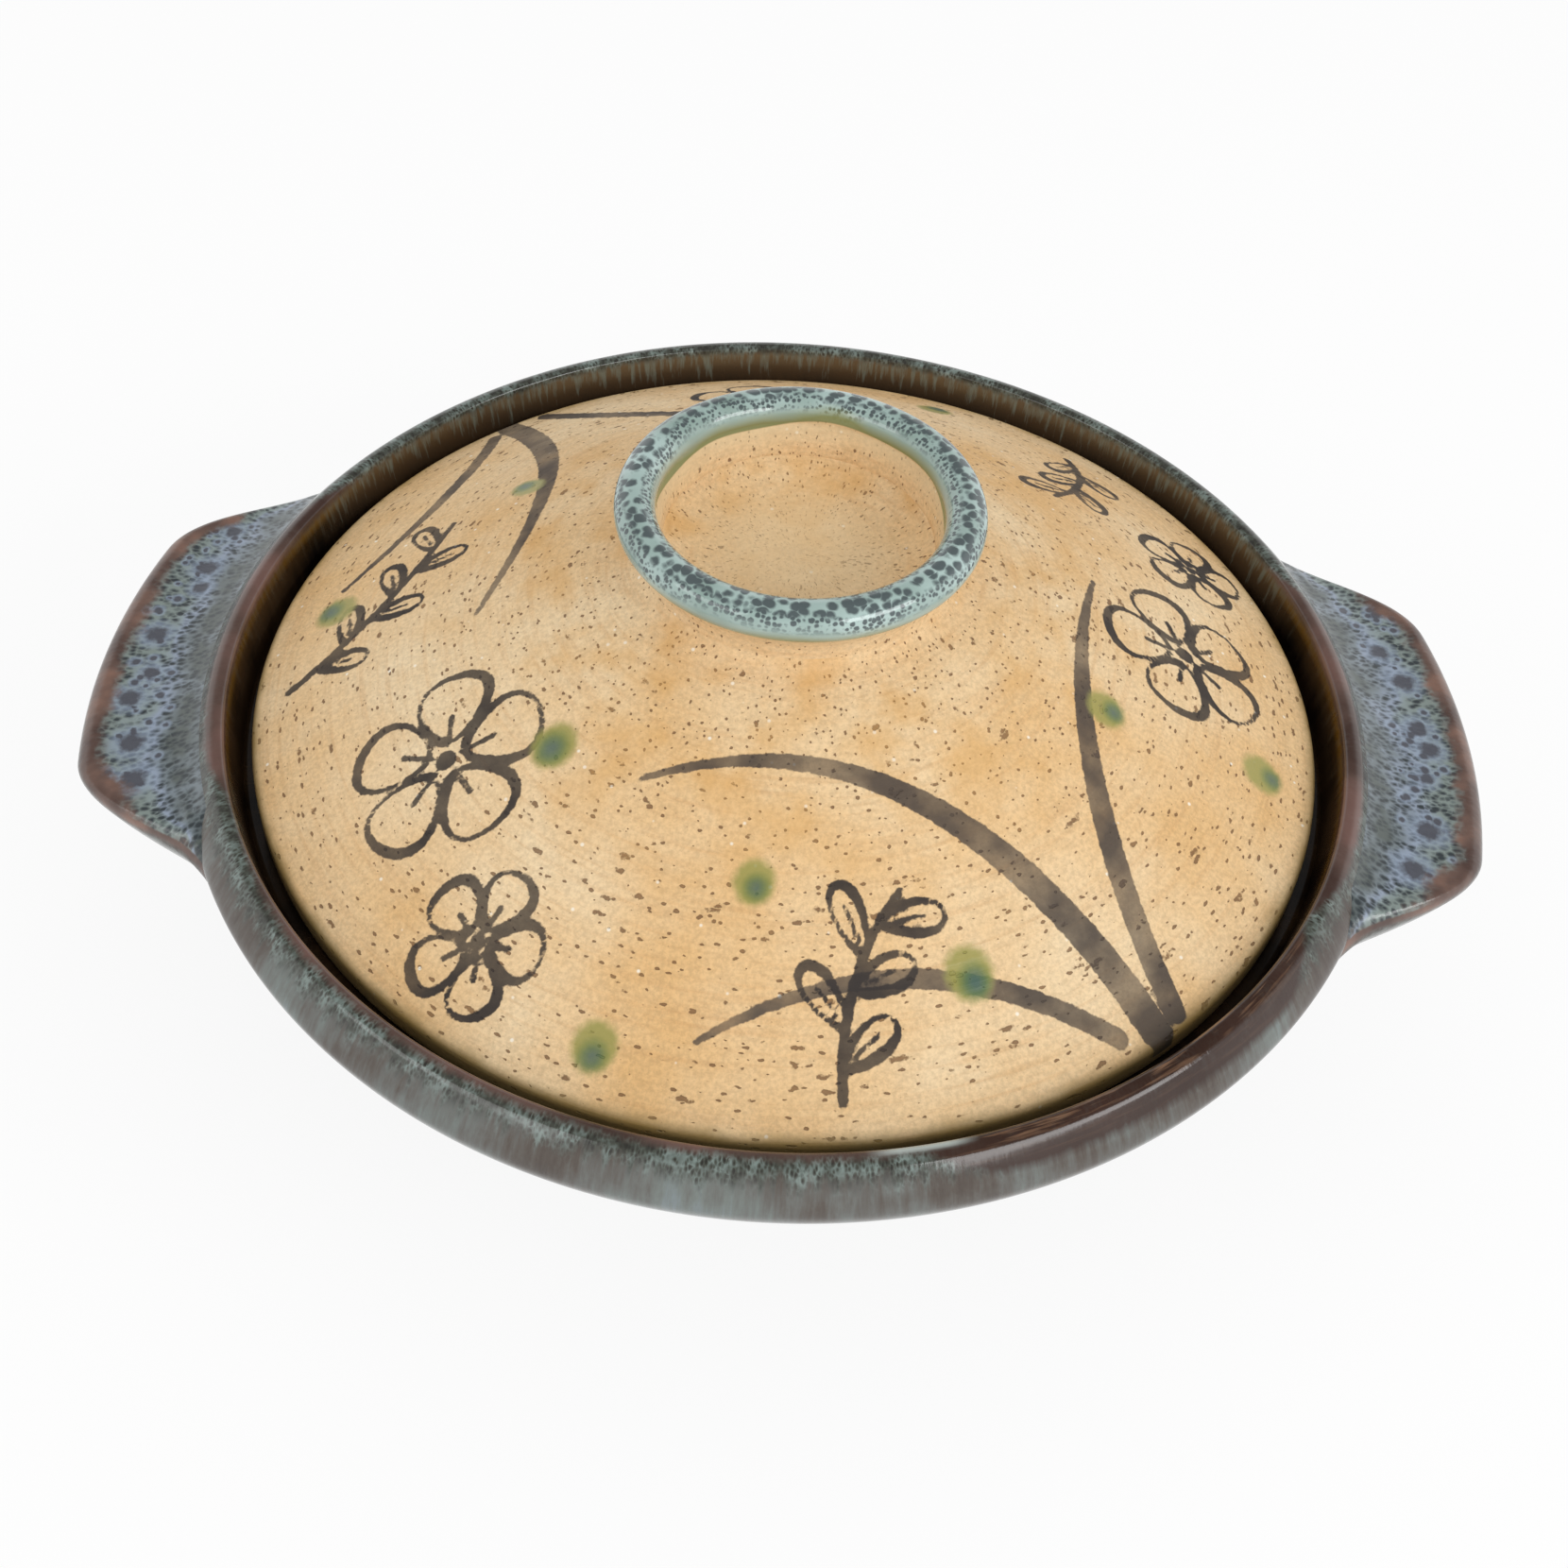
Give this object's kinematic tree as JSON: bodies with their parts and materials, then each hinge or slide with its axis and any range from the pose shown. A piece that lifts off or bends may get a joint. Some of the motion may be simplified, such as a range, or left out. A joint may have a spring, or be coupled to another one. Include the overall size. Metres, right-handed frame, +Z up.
{
  "type": "lidded hot pot",
  "caption": "Round stoneware hot pot with side lug handles and a domed lid that sits inside the rim and lifts off by a hollow ring knob.",
  "frame": {"origin": "centre of the foot ring's standing plane, under the middle of the pot", "axes": "+X through the right-hand lug handle, +Y away from the viewer, +Z up through the knob"},
  "size_m": [0.265, 0.226, 0.1194],
  "materials": {
    "pot_glaze": "glossy blue-grey iron glaze breaking to brown on the rim",
    "handle_glaze": "glossy blue-grey mottled glaze breaking to brown on the edges",
    "lid_clay": "matt sandy buff stoneware with brushed iron and copper decoration",
    "knob_glaze": "glossy pale blue-green glaze with a charcoal network"
  },
  "bodies": {
    "pot": {"pot_bowl": "pot_glaze", "left_handle": "handle_glaze", "right_handle": "handle_glaze"},
    "lid": {"lid_dome": "lid_clay", "lid_knob": "knob_glaze"}
  },
  "joints": [
    {"name": "lid_lift", "type": "slide", "parent": "pot", "child": "lid", "axis": [0, 0, 1], "range_m": [0, 0.15]}
  ]
}
